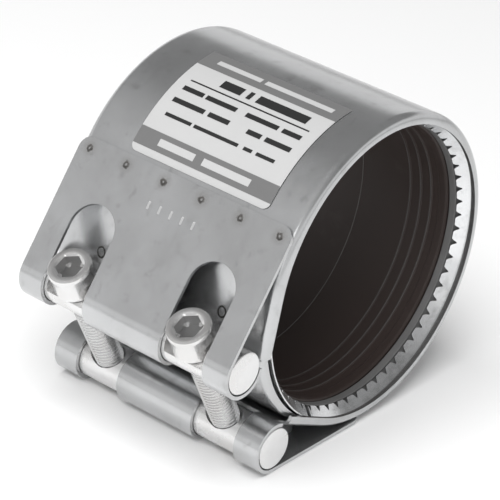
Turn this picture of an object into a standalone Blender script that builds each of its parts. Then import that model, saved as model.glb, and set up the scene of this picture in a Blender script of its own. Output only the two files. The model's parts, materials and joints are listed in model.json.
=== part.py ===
"""A bolted grip coupling for a plain-ended pipe of nominal size 100, at rest with its screws loosened.

Frame: metres, +Z up. The pipe's axis is Y and the origin is the middle of the bore. The casing's gap,
with the two clamping bars, is on the -X side, and the coupling rests on the flat lower strap plate.

Every piece is placed in the gap frame: x points from the pipe's axis out through the middle of the
gap, y is the pipe's axis, and z points from the upper bar to the lower bar.
"""

import math

import bmesh
import bpy
from mathutils import Matrix, Vector

MM = 0.001

# Pipe and casing. The casing is one sheet: a circle with inward lips, a straight leg each side of the
# gap, a loop round each bar, and a strap plate that comes back over the circle.
CASING_RADIUS = 65.5 * MM
CASING_WIDTH = 108.0 * MM
SHEET = 1.5 * MM
LIP_DEPTH = 4.6 * MM
LIP_BEND = 3.5 * MM
HEM_START = 47.5 * MM
STRAP_HALF_WIDTH = 53.3 * MM
STRAP_CORNER = 5.5 * MM
STRAP_GAP = 0.1 * MM
LEG_WITH_LIP = 24.3 * MM

# Bars, and where they are: the distance from the pipe's axis, and the angle to each side of the gap.
BAR_DISTANCE = 79.5 * MM
BAR_ANGLE = math.radians(17.6)
BAR_RADIUS = 8.75 * MM
BAR_LENGTH = 107.0 * MM
BAR_CHAMFER = 1.2 * MM
LOOP_CLEARANCE = 0.3 * MM

# Spot welds that hold each strap plate to the casing.
WELD_RADIUS = 2.0 * MM
WELD_DEPTH = 1.65 * MM
WELD_FROM_EDGE = 4.6 * MM
WELD_PITCH = 19.2 * MM
WELD_COUNT = 6

# Slots that let the screws through the strap plates and loops.
SLOT_WIDTH = 22.0 * MM
SLOT_FROM_EDGE = 22.6 * MM
SLOT_INWARD = 9.0 * MM
SLOT_REACH = 13.0 * MM

# M12 socket-head cap screws, 50 mm long under the head.
SCREW_OFFSET = 30.5 * MM
SCREW_RADIUS = 6.0 * MM
SCREW_LENGTH = 50.0 * MM
SCREW_CHAMFER = 1.0 * MM
HEAD_RADIUS = 9.0 * MM
HEAD_HEIGHT = 12.0 * MM
HEAD_SEAT = 3.5 * MM
SOCKET_ACROSS = 10.0 * MM
SOCKET_DEPTH = 6.0 * MM
CLEARANCE_HOLE = 6.5 * MM
THREAD_HOLE = 6.3 * MM
SEAT_HALF_LENGTH = 9.6 * MM
FIT_GAP = 0.3 * MM

# Bridge plate that closes the gap from inside.
BRIDGE_CROWN = 68.0 * MM
BRIDGE_END_RADIUS = 64.3 * MM
BRIDGE_END_ANGLE = math.radians(29.4)
BRIDGE_SHEET = 1.2 * MM
BRIDGE_HALF_WIDTH = 51.0 * MM
BRIDGE_LIP = 3.8 * MM
BRIDGE_END_LIP = 1.2 * MM

# Rings and sleeve inside the casing. Lengths along the pipe are from the coupling's middle.
INNER_STACK_RADIUS = 62.7 * MM
SLEEVE_BORE = 57.8 * MM
SLEEVE_HALF_LENGTH = 42.3 * MM
GROOVE_DEPTH = 1.0 * MM
GROOVE_HALF_WIDTH = 0.7 * MM
GROOVES = (24.0 * MM, 29.3 * MM, 34.5 * MM)
RING_SHEET = 0.7 * MM
TOOTH_COUNT = 60
TOOTH_TIP_RADIUS = 58.65 * MM
TOOTH_TIP_AT = 46.65 * MM
TOOTH_LENGTH = 2.3 * MM
CONE_ANGLE = math.radians(48.0)
CONE_LENGTH = 5.7 * MM
BACKING_BORE = 58.7 * MM
SPLIT_ANGLE = math.radians(32.0)
SPLIT_WIDTH = 2.5 * MM
SPLIT_REACH = 12.0 * MM

# Label on the casing, between two angles from the gap.
LABEL_START = math.radians(-112.0)
LABEL_END = math.radians(-63.9)
LABEL_NEAR = -37.4 * MM
LABEL_FAR = 31.7 * MM
LABEL_SHEET = 0.2 * MM
LABEL_GAP = 0.25 * MM
LABEL_CORNER = 3.0 * MM

# How finely curves are divided.
ARC_STEPS = 28
LOOP_STEPS = 14
CORNER_STEPS = 4
BEND_STEPS = 3
BAR_SIDES = 36
SCREW_SIDES = 24
RING_SIDES = 60
WELD_SIDES = 12
SLOT_SIDES = 24
BRIDGE_STEPS = 16
LABEL_STEPS = 10

# What follows from the sizes above.
SHEET_RADIUS = CASING_RADIUS - SHEET / 2
LOOP_RADIUS = BAR_RADIUS + LOOP_CLEARANCE + SHEET / 2
STRAP_DISTANCE = CASING_RADIUS + STRAP_GAP + SHEET / 2
LEG_ANGLE = BAR_ANGLE + math.acos((SHEET_RADIUS + LOOP_RADIUS) / BAR_DISTANCE)
LEG_LENGTH = math.sqrt(BAR_DISTANCE**2 - (SHEET_RADIUS + LOOP_RADIUS) ** 2)
STRAP_ANGLE = BAR_ANGLE + math.acos((STRAP_DISTANCE - LOOP_RADIUS) / BAR_DISTANCE)
STRAP_LENGTH = BAR_DISTANCE * math.sin(STRAP_ANGLE - BAR_ANGLE)
GAP_ANGLE = 1.5 * math.pi - STRAP_ANGLE
BAR_X = BAR_DISTANCE * math.cos(BAR_ANGLE)
BAR_Z = BAR_DISTANCE * math.sin(BAR_ANGLE)


def toward(angle):
    """The unit vector at an angle from the gap, in the plane across the pipe."""
    return Vector((math.cos(angle), 0.0, math.sin(angle)))


def collection(name):
    made = bpy.data.collections.new(name)
    bpy.context.scene.collection.children.link(made)
    return made


def clear_scene():
    for obj in list(bpy.data.objects):
        bpy.data.objects.remove(obj, do_unlink=True)


def material(name, colour, roughness, metallic):
    made = bpy.data.materials.new(name)
    made.use_nodes = True
    shader = made.node_tree.nodes["Principled BSDF"]
    shader.inputs["Base Color"].default_value = (*colour, 1.0)
    shader.inputs["Roughness"].default_value = roughness
    shader.inputs["Metallic"].default_value = metallic
    return made


def place(obj, parent, location=(0.0, 0.0, 0.0), rotation=(0.0, 0.0, 0.0)):
    """Puts an object at a place in the gap frame, whatever its parent's own place there."""
    obj.parent = parent
    obj.location = Vector(location) - Vector(parent.get("place", (0.0, 0.0, 0.0)))
    obj.rotation_euler = rotation
    obj["place"] = tuple(location)


def empty(name, parent=None, location=(0.0, 0.0, 0.0)):
    made = bpy.data.objects.new(name, None)
    parts.objects.link(made)
    if parent:
        place(made, parent, location)
    return made


def solid(name, bm, finish):
    """A visible piece from a bmesh, smooth except at its sharp edges."""
    bmesh.ops.remove_doubles(bm, verts=bm.verts, dist=1e-6)
    bmesh.ops.recalc_face_normals(bm, faces=bm.faces)
    mesh = bpy.data.meshes.new(name)
    bm.to_mesh(mesh)
    bm.free()
    mesh.shade_smooth()
    mesh.set_sharp_from_angle(angle=math.radians(30))
    made = bpy.data.objects.new(name, mesh)
    made.data.materials.append(finish)
    parts.objects.link(made)
    return made


def cutter(name, bm, location, rotation=(0.0, 0.0, 0.0)):
    mesh = bpy.data.meshes.new(name)
    bm.to_mesh(mesh)
    bm.free()
    made = bpy.data.objects.new(name, mesh)
    made.hide_render = True
    made.display_type = "WIRE"
    cutters.objects.link(made)
    place(made, gap_frame, location, rotation)
    return made


def boolean(obj, tool, operation="DIFFERENCE"):
    modifier = obj.modifiers.new(tool.name, "BOOLEAN")
    modifier.operation = operation
    modifier.object = tool


def solidify(obj, thickness):
    modifier = obj.modifiers.new("sheet", "SOLIDIFY")
    modifier.thickness = thickness
    modifier.offset = 0.0
    modifier.use_even_offset = True


def turn(obj, steps):
    """Turns a profile in the XZ plane about the object's own Z axis."""
    modifier = obj.modifiers.new("turn", "SCREW")
    modifier.steps = steps
    modifier.render_steps = steps
    modifier.use_merge_vertices = True
    modifier.merge_threshold = 1e-6


def cylinder(radius, length, sides, turned_to="Z"):
    bm = bmesh.new()
    bmesh.ops.create_cone(bm, cap_ends=True, segments=sides, radius1=radius, radius2=radius, depth=length)
    if turned_to == "Y":
        bmesh.ops.rotate(bm, verts=bm.verts, matrix=Matrix.Rotation(math.pi / 2, 3, "X"))
    return bm


def box(size):
    bm = bmesh.new()
    bmesh.ops.create_cube(bm, size=1.0)
    bmesh.ops.scale(bm, verts=bm.verts, vec=size)
    return bm


def profile(points, closed=False):
    """A chain of edges through (radius, height) points, for turning."""
    bm = bmesh.new()
    corners = [bm.verts.new((radius, 0.0, height)) for radius, height in points]
    for near, far in zip(corners, corners[1:]):
        bm.edges.new((near, far))
    if closed:
        bm.edges.new((corners[-1], corners[0]))
    return bm


def turned(name, points, sides, finish, closed=False):
    mesh_source = profile(points, closed)
    mesh = bpy.data.meshes.new(name)
    mesh_source.to_mesh(mesh)
    mesh_source.free()
    made = bpy.data.objects.new(name, mesh)
    made.data.materials.append(finish)
    parts.objects.link(made)
    turn(made, sides)
    return made


def loft(bm, rows):
    """Faces between neighbouring rows of points."""
    made = [[bm.verts.new(point) for point in row] for row in rows]
    for near, far in zip(made, made[1:]):
        for index in range(len(near) - 1):
            bm.faces.new((near[index], near[index + 1], far[index + 1], far[index]))


def circle_stations():
    """(point, inward direction) along the casing's circle, from opposite the gap to where the leg starts."""
    angles = [math.pi + (LEG_ANGLE - math.pi) * step / ARC_STEPS for step in range(ARC_STEPS + 1)]
    return [(toward(angle) * SHEET_RADIUS, -toward(angle)) for angle in angles]


def leg_station(length):
    along = toward(LEG_ANGLE - math.pi / 2)
    return toward(LEG_ANGLE) * SHEET_RADIUS + along * length, -toward(LEG_ANGLE)


def loop_points():
    """The sheet's middle round the lower bar, from the leg past the gap side to the strap plate."""
    centre = Vector((BAR_X, 0.0, BAR_Z))
    start = LEG_ANGLE + math.pi
    sweep = STRAP_ANGLE + 2 * math.pi - start
    return [
        centre + toward(start + sweep * step / LOOP_STEPS) * LOOP_RADIUS for step in range(LOOP_STEPS + 1)
    ]


def strap_point(from_edge):
    """A point on the strap plate's middle, at a distance from its free edge."""
    return toward(STRAP_ANGLE) * STRAP_DISTANCE + toward(STRAP_ANGLE - math.pi / 2) * from_edge


def strap_stations():
    """(point, half width) from the loop to the strap's free edge, whose corners are round."""
    stations = [(point, STRAP_HALF_WIDTH) for point in loop_points()]
    for step in range(CORNER_STEPS + 1):
        turned_by = math.pi / 2 * step / CORNER_STEPS
        from_edge = STRAP_CORNER * (1 - math.sin(turned_by))
        drawn_in = STRAP_CORNER * (1 - math.cos(turned_by))
        stations.append((strap_point(from_edge), STRAP_HALF_WIDTH - drawn_in))
    return stations


def lip_rows():
    """(distance from the middle, depth inward) of the rows across one edge of the casing's circle."""
    bend = LIP_BEND - SHEET / 2
    flat_end = CASING_WIDTH / 2 - LIP_BEND
    rows = [(HEM_START, 0.0), (flat_end, 0.0)]
    for step in range(1, BEND_STEPS + 1):
        angle = math.pi / 2 * step / BEND_STEPS
        rows.append((flat_end + bend * math.sin(angle), bend * (1 - math.cos(angle))))
    rows.append((flat_end + bend, LIP_DEPTH - SHEET / 2))
    return rows


def make_casing(finish):
    """The lower half of the sheet's middle surface, mirrored across the gap frame's z = 0 and thickened."""
    circle = circle_stations()
    lip_end = leg_station(LEG_WITH_LIP)
    leg_end = leg_station(LEG_LENGTH)
    straps = strap_stations()
    flat_end = CASING_WIDTH / 2 - LIP_BEND
    flat_share = (flat_end - HEM_START) / (STRAP_HALF_WIDTH - HEM_START)
    middle = [point for point, _ in circle] + [lip_end[0]] + [point for point, _ in straps]
    bm = bmesh.new()
    loft(bm, [[point + Vector((0.0, y, 0.0)) for point in middle] for y in (-HEM_START, HEM_START)])
    for side in (-1, 1):
        lipped = [
            [point + inward * depth + Vector((0.0, side * y, 0.0)) for point, inward in [*circle, lip_end]]
            for y, depth in lip_rows()
        ]
        loft(bm, lipped)
        between = [lip_end[0], leg_end[0]]
        flat_rows = [Vector((0.0, side * y, 0.0)) for y in (HEM_START, flat_end)]
        loft(bm, [[point + shift for point in between] for shift in flat_rows])
        for near, far in ((0.0, flat_share), (flat_share, 1.0)):
            loft(
                bm,
                [
                    [
                        point + Vector((0.0, side * (HEM_START + share * (half - HEM_START)), 0.0))
                        for point, half in straps
                    ]
                    for share in (near, far)
                ],
            )
    casing = solid("casing", bm, finish)
    place(casing, gap_frame)
    mirror = casing.modifiers.new("both sides of the gap", "MIRROR")
    mirror.use_axis = (False, False, True)
    mirror.merge_threshold = 1e-5
    solidify(casing, SHEET)
    for side in (-1, 1):
        for y in (-SCREW_OFFSET, SCREW_OFFSET):
            boolean(casing, strap_slot(side, y))
            boolean(casing, loop_slot(side, y))
    boolean(casing, weld_nuggets(), "UNION")
    return casing


def strap_slot(side, y):
    """A round-ended slot through a strap plate only, which clears the circle below it."""
    radius = SLOT_WIDTH / 2
    straight = STRAP_LENGTH - SLOT_FROM_EDGE - radius
    bm = cylinder(radius, 4 * SHEET, SLOT_SIDES)
    bmesh.ops.bisect_plane(
        bm,
        geom=bm.verts[:] + bm.edges[:] + bm.faces[:],
        plane_co=(0.0, 0.0, 0.0),
        plane_no=(1.0, 0.0, 0.0),
        clear_outer=True,
    )
    open_edges = [edge for edge in bm.edges if edge.is_boundary]
    cap = bmesh.ops.holes_fill(bm, edges=open_edges)["faces"]
    moved = bmesh.ops.extrude_face_region(bm, geom=cap)
    bmesh.ops.delete(bm, geom=cap, context="FACES")
    corners = [item for item in moved["geom"] if isinstance(item, bmesh.types.BMVert)]
    bmesh.ops.translate(bm, verts=corners, vec=(straight, 0.0, 0.0))
    bmesh.ops.recalc_face_normals(bm, faces=bm.faces)
    angle = side * STRAP_ANGLE
    centre = toward(angle) * STRAP_DISTANCE
    centre += toward(angle - side * math.pi / 2) * (SLOT_FROM_EDGE + radius)
    facing = (0.0, side * math.pi / 2 - angle, 0.0)
    return cutter(f"strap_slot_{side:+d}_{y / MM:+.0f}", bm, centre + Vector((0.0, y, 0.0)), facing)


def loop_slot(side, y):
    """A block round a bar that opens the loop where a screw goes through."""
    depth = SLOT_INWARD + SLOT_REACH
    bm = box((depth, SLOT_WIDTH, 2 * SLOT_REACH))
    middle = BAR_DISTANCE + (SLOT_REACH - SLOT_INWARD) / 2
    centre = toward(side * BAR_ANGLE) * middle + Vector((0.0, y, 0.0))
    return cutter(f"loop_slot_{side:+d}_{y / MM:+.0f}", bm, centre, (0.0, -side * BAR_ANGLE, 0.0))


def weld_nuggets():
    """All the spot welds between the strap plates and the circle, as one set of short pins."""
    bm = bmesh.new()
    for side in (-1, 1):
        angle = side * STRAP_ANGLE
        across = toward(angle - side * math.pi / 2) * WELD_FROM_EDGE
        centre = toward(angle) * (STRAP_DISTANCE - WELD_DEPTH / 2) + across
        facing = Matrix.Rotation(math.pi / 2 - angle, 4, "Y")
        for index in range(WELD_COUNT):
            y = (index - (WELD_COUNT - 1) / 2) * WELD_PITCH
            bmesh.ops.create_cone(
                bm,
                cap_ends=True,
                segments=WELD_SIDES,
                radius1=WELD_RADIUS,
                radius2=WELD_RADIUS,
                depth=WELD_DEPTH,
                matrix=Matrix.Translation(centre + Vector((0.0, y, 0.0))) @ facing,
            )
    return cutter("weld_nuggets", bm, (0.0, 0.0, 0.0))


def make_bar(name, side, parent, finish, hole_radius):
    """A round bar with chamfered ends and a hole for each screw."""
    bar = solid(name, cylinder(BAR_RADIUS, BAR_LENGTH, BAR_SIDES, "Y"), finish)
    place(bar, parent, (BAR_X, 0.0, side * BAR_Z))
    chamfer = bar.modifiers.new("chamfer", "BEVEL")
    chamfer.width = BAR_CHAMFER
    chamfer.segments = 1
    chamfer.limit_method = "ANGLE"
    chamfer.angle_limit = math.radians(60)
    for y in (-SCREW_OFFSET, SCREW_OFFSET):
        hole = cylinder(hole_radius, 3 * BAR_RADIUS, SCREW_SIDES)
        boolean(bar, cutter(f"{name}_hole_{y / MM:+.0f}", hole, (BAR_X, y, side * BAR_Z)))
    return bar


def mill_seats(bar):
    """Flats across the upper bar for the screw heads."""
    size = (4 * BAR_RADIUS, 2 * SEAT_HALF_LENGTH, 2 * BAR_RADIUS)
    height = -BAR_Z - HEAD_SEAT + FIT_GAP - BAR_RADIUS
    for y in (-SCREW_OFFSET, SCREW_OFFSET):
        boolean(bar, cutter(f"seat_{y / MM:+.0f}", box(size), (BAR_X, y, height)))


def make_screw(name, y, parent, finish):
    """A socket-head cap screw whose head is at +Z of its own frame, turned over to enter the upper bar."""
    top = HEAD_SEAT + HEAD_HEIGHT
    tip = HEAD_SEAT - SCREW_LENGTH
    outline = [
        (0.0, top),
        (HEAD_RADIUS - SCREW_CHAMFER, top),
        (HEAD_RADIUS, top - SCREW_CHAMFER),
        (HEAD_RADIUS, HEAD_SEAT),
        (SCREW_RADIUS, HEAD_SEAT),
        (SCREW_RADIUS, tip + SCREW_CHAMFER),
        (SCREW_RADIUS - SCREW_CHAMFER, tip),
        (0.0, tip),
    ]
    screw = turned(name, outline, SCREW_SIDES, finish)
    place(screw, parent, (BAR_X, y, -BAR_Z), (math.pi, 0.0, 0.0))
    socket = cylinder(SOCKET_ACROSS / math.sqrt(3), 2 * SOCKET_DEPTH, 6)
    boolean(screw, cutter(f"{name}_socket", socket, (BAR_X, y, -BAR_Z - top)))
    return screw


def make_bridge(parent, finish):
    """A curved plate with shallow lips, more tightly curved than the casing, so it tucks under both legs."""
    end = toward(BRIDGE_END_ANGLE) * BRIDGE_END_RADIUS
    rise = BRIDGE_CROWN - end.x
    radius = (end.z**2 + rise**2) / (2 * rise)
    centre = Vector((BRIDGE_CROWN - radius, 0.0, 0.0))
    half_angle = math.atan2(end.z, end.x - centre.x)
    middle = radius - BRIDGE_SHEET / 2
    edge = BRIDGE_HALF_WIDTH - BRIDGE_SHEET / 2
    bm = bmesh.new()
    rows = []
    for side, depth_share in ((-1, 1.0), (-1, 0.0), (1, 0.0), (1, 1.0)):
        row = []
        for step in range(-BRIDGE_STEPS // 2, BRIDGE_STEPS // 2 + 1):
            share = step / (BRIDGE_STEPS / 2)
            lip = BRIDGE_LIP + (BRIDGE_END_LIP - BRIDGE_LIP) * share**2
            depth = depth_share * (lip - BRIDGE_SHEET / 2)
            point = centre + toward(share * half_angle) * (middle - depth)
            row.append(point + Vector((0.0, side * edge, 0.0)))
        rows.append(row)
    loft(bm, rows)
    bmesh.ops.translate(bm, verts=bm.verts, vec=-Vector(parent["place"]))
    bridge = solid("bridge_plate", bm, finish)
    place(bridge, parent, parent["place"])
    solidify(bridge, BRIDGE_SHEET)
    return bridge


def make_sleeve(finish):
    """The rubber sleeve, with grooves that leave sealing lips along its bore."""
    centres = sorted([-groove for groove in GROOVES] + [0.0] + list(GROOVES))
    outline = [
        (INNER_STACK_RADIUS, SLEEVE_HALF_LENGTH),
        (INNER_STACK_RADIUS, -SLEEVE_HALF_LENGTH),
        (SLEEVE_BORE, -SLEEVE_HALF_LENGTH),
    ]
    for height in centres:
        outline.append((SLEEVE_BORE, height - GROOVE_HALF_WIDTH))
        outline.append((SLEEVE_BORE + GROOVE_DEPTH, height))
        outline.append((SLEEVE_BORE, height + GROOVE_HALF_WIDTH))
    outline.append((SLEEVE_BORE, SLEEVE_HALF_LENGTH))
    sleeve = turned("sealing_sleeve", outline, RING_SIDES, finish, closed=True)
    place(sleeve, gap_frame, rotation=(-math.pi / 2, 0.0, 0.0))
    return sleeve


def cone_point(along, behind):
    """(radius, height) on a grip ring: along its cone from the tooth tips, and behind its front face."""
    radius = TOOTH_TIP_RADIUS + along * math.cos(CONE_ANGLE) + behind * math.sin(CONE_ANGLE)
    height = TOOTH_TIP_AT + along * math.sin(CONE_ANGLE) - behind * math.cos(CONE_ANGLE)
    return radius, height


def split_cutter(name, height):
    centre = toward(SPLIT_ANGLE) * INNER_STACK_RADIUS + Vector((0.0, height, 0.0))
    bm = box((SPLIT_REACH, SPLIT_REACH, SPLIT_WIDTH))
    return cutter(f"{name}_split", bm, centre, (0.0, -SPLIT_ANGLE, 0.0))


def make_grip_ring(name, end, finish):
    """A split cone with blunt teeth: three columns to a tooth, two at its tip and one at the notch."""
    bm = bmesh.new()
    columns = 3 * TOOTH_COUNT
    rings = []
    for column in range(columns):
        inner = TOOTH_LENGTH if column % 3 == 2 else 0.0
        section = [cone_point(inner, 0), cone_point(CONE_LENGTH, 0)]
        section += [cone_point(CONE_LENGTH, RING_SHEET), cone_point(inner, RING_SHEET)]
        turned_by = Matrix.Rotation(2 * math.pi * column / columns, 3, "Z")
        rings.append([turned_by @ Vector((radius, 0.0, height)) for radius, height in section])
    loft(bm, [[*ring, ring[0]] for ring in [*rings, rings[0]]])
    ring = solid(name, bm, finish)
    place(ring, gap_frame, rotation=(-end * math.pi / 2, 0.0, 0.0))
    boolean(ring, split_cutter(name, end * TOOTH_TIP_AT))
    return ring


def make_backing_ring(name, end, finish):
    """A split ring that backs the grip ring's cone and holds the sleeve's end."""
    start = SLEEVE_HALF_LENGTH + FIT_GAP
    tip_radius, tip_height = cone_point(0, RING_SHEET + FIT_GAP)
    rise = (INNER_STACK_RADIUS - tip_radius) * math.tan(CONE_ANGLE)
    outline = [
        (INNER_STACK_RADIUS, tip_height + rise),
        (INNER_STACK_RADIUS, start),
        (BACKING_BORE, start),
        (BACKING_BORE, tip_height),
        (tip_radius, tip_height),
    ]
    ring = turned(name, outline, RING_SIDES, finish, closed=True)
    place(ring, gap_frame, rotation=(-end * math.pi / 2, 0.0, 0.0))
    boolean(ring, split_cutter(name, end * TOOTH_TIP_AT))
    return ring


def make_label(parent, finish):
    """A thin blank label that follows the casing, round at its two corners next to the strap."""
    radius = CASING_RADIUS + LABEL_GAP + LABEL_SHEET / 2
    bm = bmesh.new()
    rows = [[], []]
    for step in range(LABEL_STEPS + 1):
        out = toward(LABEL_START + (LABEL_END - LABEL_START) * step / LABEL_STEPS)
        for row, y in zip(rows, (LABEL_NEAR, LABEL_FAR)):
            row.append(out * radius + Vector((0.0, y, 0.0)))
    loft(bm, rows)
    last = toward(LABEL_END) * radius
    corners = [vert for vert in bm.verts if math.hypot(vert.co.x - last.x, vert.co.z - last.z) < 1e-6]
    bmesh.ops.bevel(bm, geom=corners, offset=LABEL_CORNER, segments=3, affect="VERTICES", profile=0.5)
    bmesh.ops.translate(bm, verts=bm.verts, vec=-Vector(parent["place"]))
    label = solid("label", bm, finish)
    place(label, parent, parent["place"])
    solidify(label, LABEL_SHEET)
    return label


clear_scene()
parts = collection("grip_coupling")
cutters = collection("cutters")

stainless = material("stainless_sheet", (0.42, 0.42, 0.41), 0.38, 1.0)
plated = material("zinc_plated_steel", (0.55, 0.55, 0.54), 0.3, 1.0)
rubber = material("epdm_rubber", (0.03, 0.025, 0.022), 0.6, 0.0)
spring = material("hardened_strip", (0.35, 0.35, 0.34), 0.35, 1.0)
paper = material("label_stock", (0.7, 0.71, 0.7), 0.45, 0.0)

gap_frame = empty("gap_frame")
gap_frame.rotation_euler = (0.0, -GAP_ANGLE, 0.0)
closing_hinge = empty("closing_hinge", gap_frame, (-SHEET_RADIUS, 0.0, 0.0))

make_casing(stainless)
make_sleeve(rubber)
for end_name, end in (("front", -1), ("rear", 1)):
    make_grip_ring(f"grip_ring_{end_name}", end, spring)
    make_backing_ring(f"backing_ring_{end_name}", end, spring)
make_bar("lower_bar", 1, gap_frame, plated, THREAD_HOLE)
make_bridge(closing_hinge, stainless)
make_label(closing_hinge, paper)
upper_bar = make_bar("upper_bar", -1, closing_hinge, plated, CLEARANCE_HOLE)
mill_seats(upper_bar)
make_screw("screw_front", -SCREW_OFFSET, upper_bar, plated)
make_screw("screw_rear", SCREW_OFFSET, upper_bar, plated)
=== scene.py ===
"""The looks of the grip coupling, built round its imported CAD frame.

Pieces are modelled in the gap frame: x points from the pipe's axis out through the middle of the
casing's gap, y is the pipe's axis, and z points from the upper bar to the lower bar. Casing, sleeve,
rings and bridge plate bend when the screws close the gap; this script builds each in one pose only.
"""

import json
import math

import bmesh
import bpy
from mathutils import Matrix, Vector


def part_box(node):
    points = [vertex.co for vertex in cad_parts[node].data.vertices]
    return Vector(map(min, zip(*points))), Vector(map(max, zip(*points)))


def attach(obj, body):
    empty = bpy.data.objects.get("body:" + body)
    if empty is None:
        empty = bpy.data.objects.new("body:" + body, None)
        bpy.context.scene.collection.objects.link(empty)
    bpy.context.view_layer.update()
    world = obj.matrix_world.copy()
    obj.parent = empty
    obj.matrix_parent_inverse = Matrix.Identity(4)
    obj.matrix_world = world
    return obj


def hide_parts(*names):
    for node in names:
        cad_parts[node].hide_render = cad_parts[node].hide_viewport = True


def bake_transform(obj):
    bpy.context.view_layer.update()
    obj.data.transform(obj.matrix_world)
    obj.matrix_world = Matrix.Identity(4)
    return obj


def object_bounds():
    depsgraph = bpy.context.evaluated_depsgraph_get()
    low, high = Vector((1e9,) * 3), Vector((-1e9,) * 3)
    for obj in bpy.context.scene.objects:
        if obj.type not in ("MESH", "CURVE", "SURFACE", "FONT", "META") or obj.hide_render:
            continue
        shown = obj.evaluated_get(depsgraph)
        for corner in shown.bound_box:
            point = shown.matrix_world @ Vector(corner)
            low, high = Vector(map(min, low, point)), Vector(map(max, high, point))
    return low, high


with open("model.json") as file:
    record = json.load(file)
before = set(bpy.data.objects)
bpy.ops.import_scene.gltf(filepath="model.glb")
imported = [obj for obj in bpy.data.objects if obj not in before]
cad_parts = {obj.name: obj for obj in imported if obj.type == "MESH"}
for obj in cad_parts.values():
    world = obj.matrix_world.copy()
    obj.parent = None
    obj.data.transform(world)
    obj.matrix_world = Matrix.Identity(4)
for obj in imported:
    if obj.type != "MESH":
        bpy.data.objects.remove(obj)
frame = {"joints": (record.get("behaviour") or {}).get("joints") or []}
cad_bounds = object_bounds()
joints = {joint["name"]: joint for joint in frame["joints"]}

MM = 0.001

# Read from the frame: where the casing flexes, where the bars are, and which way the screws point.
FLEX_LINE = Vector(joints["closing"]["pos_m"])
UPPER_BAR_AT = Vector(joints["upper_bar_roll"]["pos_m"])
LOWER_BAR_AT = Vector(joints["lower_bar_roll"]["pos_m"])
SCREW_AXIS = Vector(joints["screw_front_turn"]["axis"]).normalized()
GAP_DIRECTION = -FLEX_LINE.normalized()
GAP_FRAME = Matrix((GAP_DIRECTION, (0.0, 1.0, 0.0), SCREW_AXIS)).transposed().to_4x4()
SHEET_RADIUS = FLEX_LINE.length
BAR_X = UPPER_BAR_AT.dot(GAP_DIRECTION)
BAR_Z = (LOWER_BAR_AT - UPPER_BAR_AT).length / 2
BAR_DISTANCE = UPPER_BAR_AT.length
BAR_ANGLE = math.atan2(BAR_Z, BAR_X)
SCREW_OFFSET = abs(joints["screw_front_turn"]["pos_m"][1])
CASING_HALF_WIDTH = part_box("casing")[1].y
FLOOR_HEIGHT = cad_bounds[0][2]
BAR_HALF_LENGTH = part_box("lower_bar")[1].y
SLEEVE_HALF_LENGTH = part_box("sealing_sleeve")[1].y

# Casing sheet
SHEET = 1.5 * MM
LIP_DEPTH = 4.6 * MM
LIP_BEND = 3.5 * MM
HEM_START = 47.5 * MM
STRAP_HALF_WIDTH = 53.3 * MM
STRAP_CORNER = 5.5 * MM
STRAP_GAP = 0.1 * MM
LEG_WITH_LIP = 24.3 * MM
EDGE_ROUNDING = 0.22 * MM
FIT_GAP = 0.3 * MM

# Slots in the straps
SLOT_RADIUS = 11.0 * MM
SLOT_FROM_EDGE = 22.6 * MM

# Marks on the sheet
WELD_FROM_EDGE = 4.6 * MM
WELD_PITCH = 19.2 * MM
WELD_RAGGEDNESS = 1.6 * MM
WELD_HEAT_RADIUS = 4.6 * MM
WELD_RIM_RADIUS = 1.8 * MM
WELD_PIT_RADIUS = 1.7 * MM
STAMP_COUNT = 5
STAMP_FROM_EDGE = 15.0 * MM
STAMP_PITCH = 5.6 * MM
STAMP_HALF_LENGTH = 1.75 * MM
STAMP_HALF_WIDTH = 0.6 * MM
RING_MARK_ALONG_LEG = 13.3 * MM
RING_MARK_OFFSET = 31.0 * MM
RING_MARK_RADIUS = 2.1 * MM
RING_MARK_HALF_LINE = 0.6 * MM
RING_MARK_NARROWING = 1.15

# Bars and screws. Heights on a screw are from the upper bar's axis, and positive toward the head.
BAR_RADIUS = 8.75 * MM
BAR_CHAMFER = 1.0 * MM
BAR_ROUNDING = 0.15 * MM
LOOP_RADIUS = BAR_RADIUS + FIT_GAP + SHEET / 2
CLEARANCE_HOLE = 6.5 * MM
THREAD_HOLE = 6.3 * MM
MOUTH_FLARE = 2.2 * MM
MOUTH_DEPTH = 3.0 * MM
MOUTH_SUNK = 1.0 * MM
HEAD_RADIUS = 9.0 * MM
HEAD_SEAT = 3.5 * MM
HEAD_TOP = 15.5 * MM
HEAD_UNDER_CHAMFER = 0.5 * MM
HEAD_TOP_ROUND = 1.2 * MM
HEAD_ROUND_MIDDLE = 0.35 * MM
KNURL_ABOVE_SEAT = 2.2 * MM
KNURL_BELOW_TOP = 1.9 * MM
KNURL_RUN_OUT = 0.3 * MM
KNURL_DEPTH = 0.16 * MM
SEAT_HALF_LENGTH = 9.6 * MM
SCREW_TIP = -46.5 * MM
TIP_RADIUS_BELOW_ROOT = 0.5 * MM
THREAD_TOP = -6.0 * MM
THREAD_PITCH = 1.75 * MM
THREAD_MAJOR = 5.93 * MM
THREAD_MINOR = 4.93 * MM
SHANK_RADIUS = 5.9 * MM
SHANK_FILLET = 0.4 * MM
SOCKET_HALF = 5.0 * MM
SOCKET_DEPTH = 6.0 * MM
SOCKET_RIM_RADIUS = 6.5 * MM
SOCKET_RIM_RUN = 0.4 * MM
SOCKET_RIM_DROP = 0.15 * MM
SOCKET_CHAMFER_DEPTH = 0.75 * MM
SOCKET_FLOOR_RADIUS = 4.6 * MM
SOCKET_CONE_DEPTH = 1.4 * MM

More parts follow.
